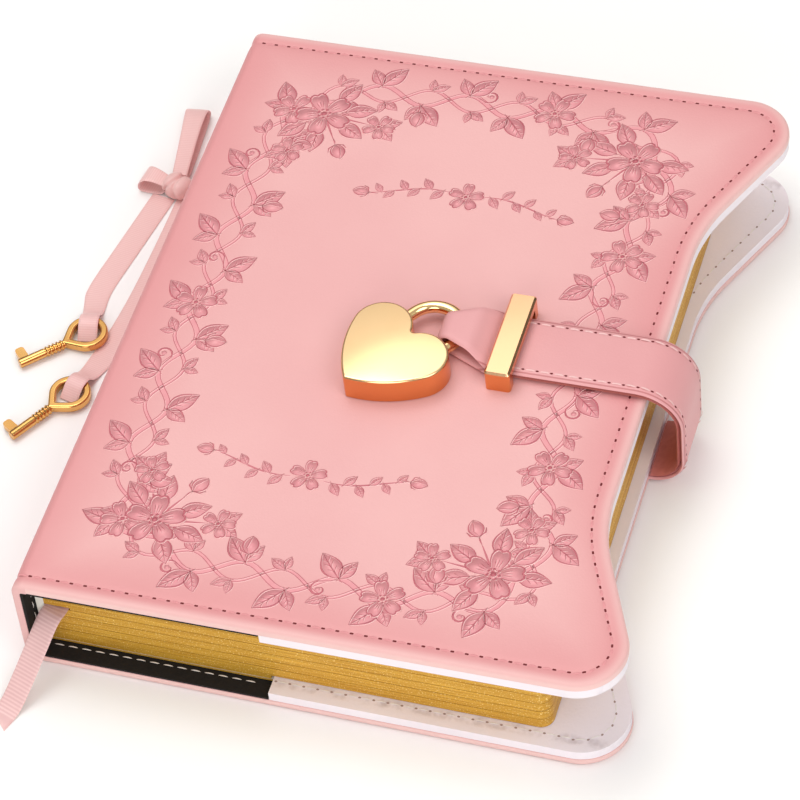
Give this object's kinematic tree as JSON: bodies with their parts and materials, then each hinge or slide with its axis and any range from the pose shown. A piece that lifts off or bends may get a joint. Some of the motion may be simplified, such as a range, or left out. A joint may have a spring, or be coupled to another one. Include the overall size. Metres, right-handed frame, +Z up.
{
  "type": "locking diary",
  "caption": "Soft leather diary with a waisted fore edge, gilt refill block, strap through a keeper, heart padlock, bookmark and keys on a ribbon.",
  "frame": {"origin": "middle of the back cover's outer face, which lies on the table", "axes": "+X from spine to fore edge, +Y from tail to head along the spine, +Z up out of the front cover"},
  "size_m": [0.1777, 0.2031, 0.0364],
  "materials": {
    "pink_leather": "smooth soft-touch leather with fine grain",
    "strap_leather": "smooth soft-touch leather",
    "greyboard": "plain greyboard",
    "black_lining": "matt black lining",
    "white_leather": "white leather",
    "gilt_paper": "cream pages with gilt edges",
    "card": "white card",
    "gold": "polished pale gold plating",
    "gold_lock": "polished pale gold plating",
    "steel": "spring steel",
    "satin": "ribbed satin ribbon"
  },
  "bodies": {
    "diary_base": {"back_cover": "pink_leather", "back_board": "greyboard", "back_lining": "black_lining", "back_pocket": "white_leather", "back_card": "card", "spine_cover": "pink_leather", "spine_board": "greyboard", "spine_lining": "black_lining", "front_crease": "pink_leather", "crease_lining": "black_lining", "block_spine": "card", "page_section_1": "gilt_paper", "page_section_2": "gilt_paper", "page_section_3": "gilt_paper", "page_section_4": "gilt_paper", "page_section_5": "gilt_paper", "page_section_6": "gilt_paper", "strap": "strap_leather", "strap_lining": "strap_leather", "bookmark_ribbon": "satin", "key_1": "gold", "key_2": "gold", "ribbon_knot": "satin", "ribbon_anchor": "satin", "ribbon_loop_a": "satin", "ribbon_loop_b": "satin", "ribbon_tail_1": "satin", "ribbon_tail_2": "satin"},
    "front": {"front_cover": "pink_leather", "front_board": "greyboard", "front_lining": "black_lining", "front_pocket": "white_leather", "front_card": "card", "keeper": "gold", "keeper_screws": "gold"},
    "flyleaf_1": {"leaf_1": "gilt_paper"},
    "flyleaf_2": {"leaf_2": "gilt_paper"},
    "flyleaf_3": {"leaf_3": "gilt_paper"},
    "padlock": {"lock_case": "gold_lock", "lock_plate": "gold_lock", "lock_rivets": "gold_lock", "latch_spring": "steel", "shackle_spring": "steel"},
    "bow": {"shackle": "gold_lock"}
  },
  "joints": [
    {"name": "cover_open", "type": "hinge", "parent": "diary_base", "child": "front", "pos_m": [-0.07, 0, 0.0265], "axis": [0, -1, 0], "range_deg": [0, 175], "deforming": ["strap", "strap_lining", "front_crease", "crease_lining"]},
    {"name": "flyleaf_1_turn", "type": "hinge", "parent": "diary_base", "child": "flyleaf_1", "pos_m": [-0.06594, 0, 0.02307], "axis": [0, -1, 0], "range_deg": [0, 131.25], "deforming": ["strap", "strap_lining", "front_crease", "crease_lining"]},
    {"name": "flyleaf_2_turn", "type": "hinge", "parent": "diary_base", "child": "flyleaf_2", "pos_m": [-0.06594, 0, 0.02307], "axis": [0, -1, 0], "range_deg": [0, 87.5], "deforming": ["strap", "strap_lining", "front_crease", "crease_lining"]},
    {"name": "flyleaf_3_turn", "type": "hinge", "parent": "diary_base", "child": "flyleaf_3", "pos_m": [-0.06594, 0, 0.02307], "axis": [0, -1, 0], "range_deg": [0, 43.75], "deforming": ["strap", "strap_lining", "front_crease", "crease_lining"]},
    {"name": "padlock_swing", "type": "hinge", "parent": "front", "child": "bow", "pos_m": [0.00745, 0.0057, 0.03275], "axis": [-0.819, 0.5736, -0.0143], "range_deg": [0, 100], "deforming": ["strap", "strap_lining"]},
    {"name": "shackle_pop", "type": "slide", "parent": "bow", "child": "padlock", "axis": [-0.5735, -0.8192, -0.01], "range_m": [0, 0.006], "deforming": ["strap", "strap_lining", "latch_spring", "shackle_spring"]}
  ],
  "couplings": [
    {"joint": "flyleaf_1_turn", "follows": "cover_open", "ratio": 0.75},
    {"joint": "flyleaf_2_turn", "follows": "cover_open", "ratio": 0.5},
    {"joint": "flyleaf_3_turn", "follows": "cover_open", "ratio": 0.25}
  ]
}
